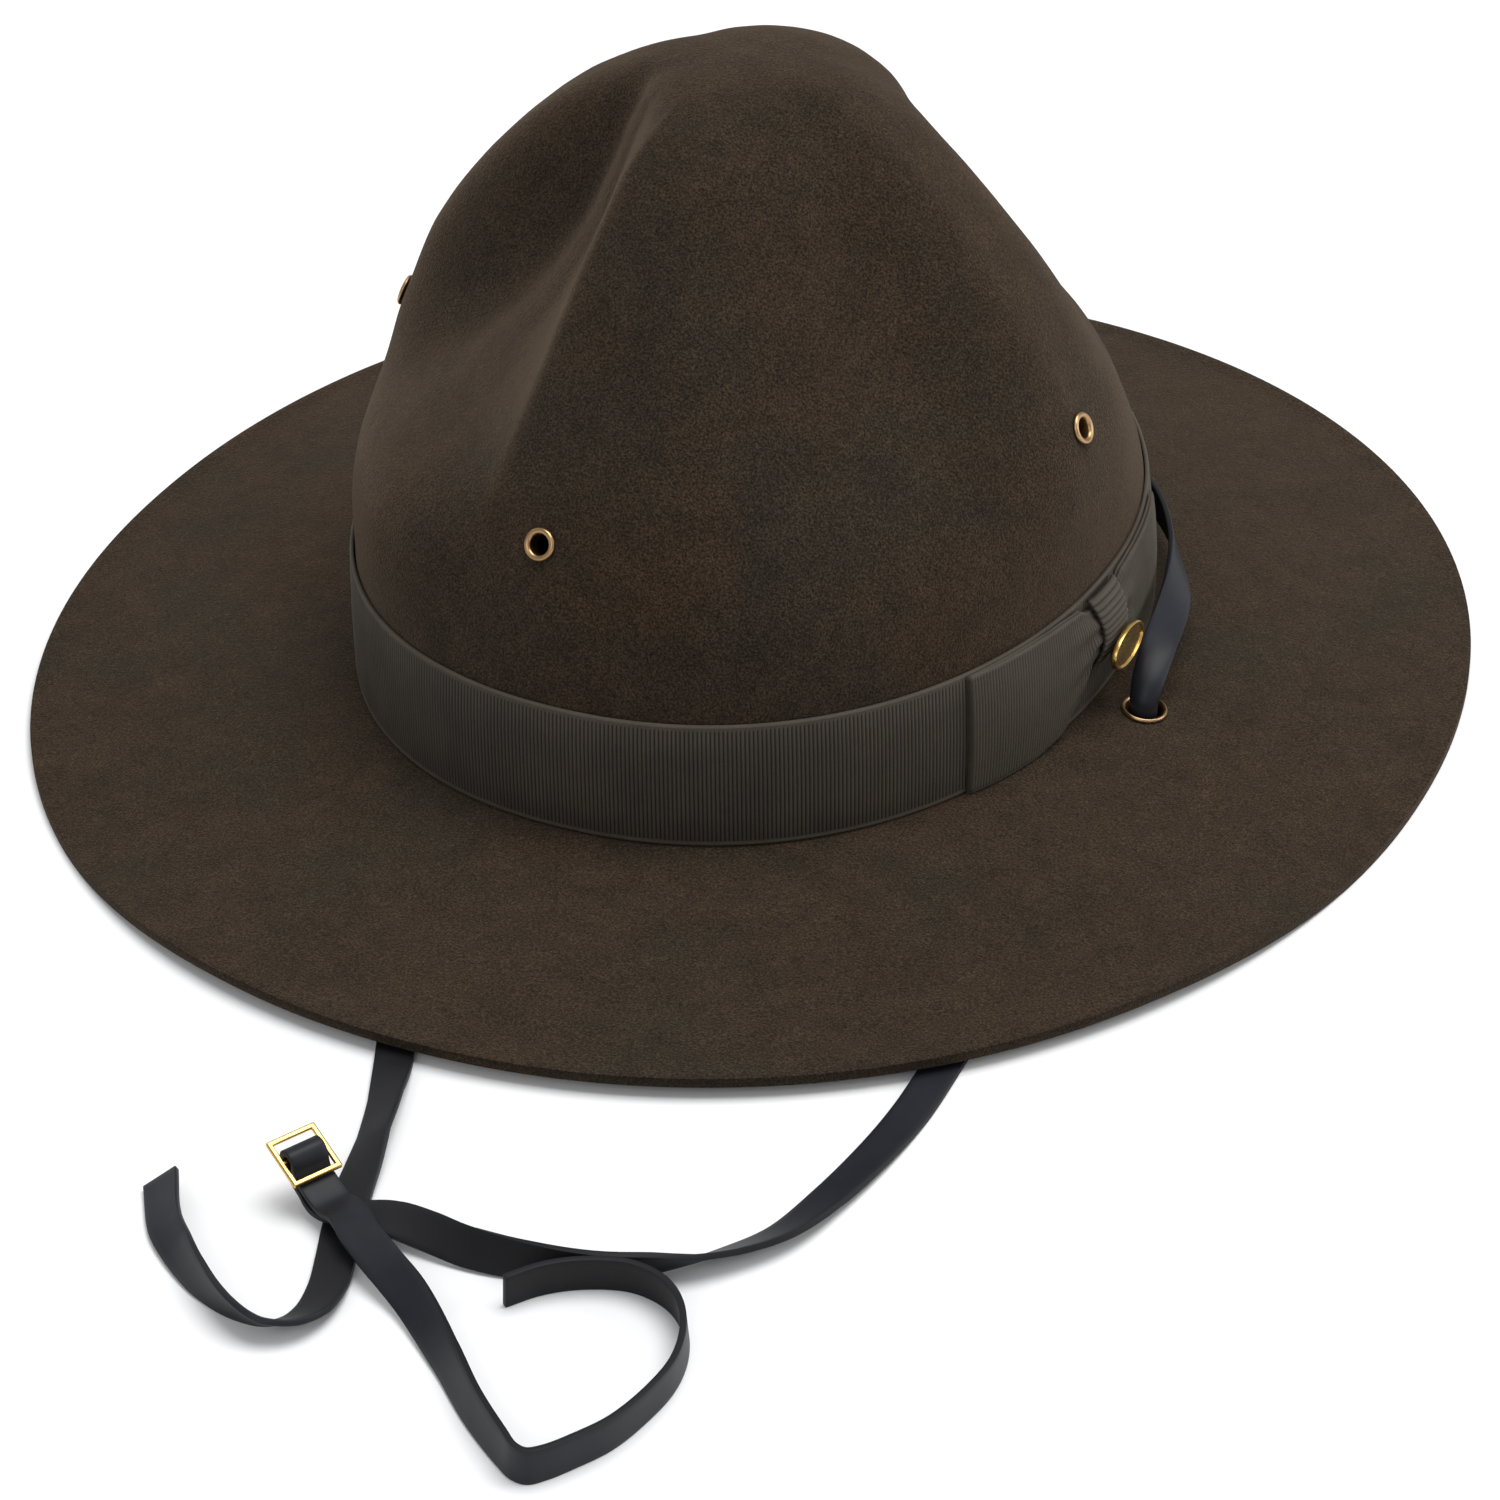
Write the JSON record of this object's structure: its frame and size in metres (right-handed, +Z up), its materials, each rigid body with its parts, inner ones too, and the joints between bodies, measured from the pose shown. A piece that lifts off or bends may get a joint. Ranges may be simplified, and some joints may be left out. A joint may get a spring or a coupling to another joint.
{
  "type": "campaign hat",
  "caption": "Felt hat with a dented peaked crown, a wide flat brim, a ribbon band with a flat bow and oval badge, brass vents and a leather chin strap with a slide buckle laid out loose.",
  "frame": {"origin": "on the surface the hat stands on, below the middle of the brim", "axes": "+Z up, -Y towards the front of the hat, +X towards the wearer's left"},
  "size_m": [0.3244, 0.4589, 0.1486],
  "materials": {
    "felt": "fuzzy felt",
    "ribbon": "ribbed grosgrain",
    "brass": "polished",
    "leather": "satin"
  },
  "bodies": {
    "root": {"felt_body": "felt", "ribbon_band": "ribbon", "bow_front_loop": "ribbon", "bow_back_loop": "ribbon", "bow_knot": "ribbon", "badge": "brass", "eyelet_front": "brass", "eyelet_left": "brass", "eyelet_right": "brass", "grommet_left": "brass", "grommet_right": "brass", "strap_back": "leather", "strap_left_run": "leather", "strap_right_run": "leather", "buckle": "brass"}
  },
  "joints": []
}
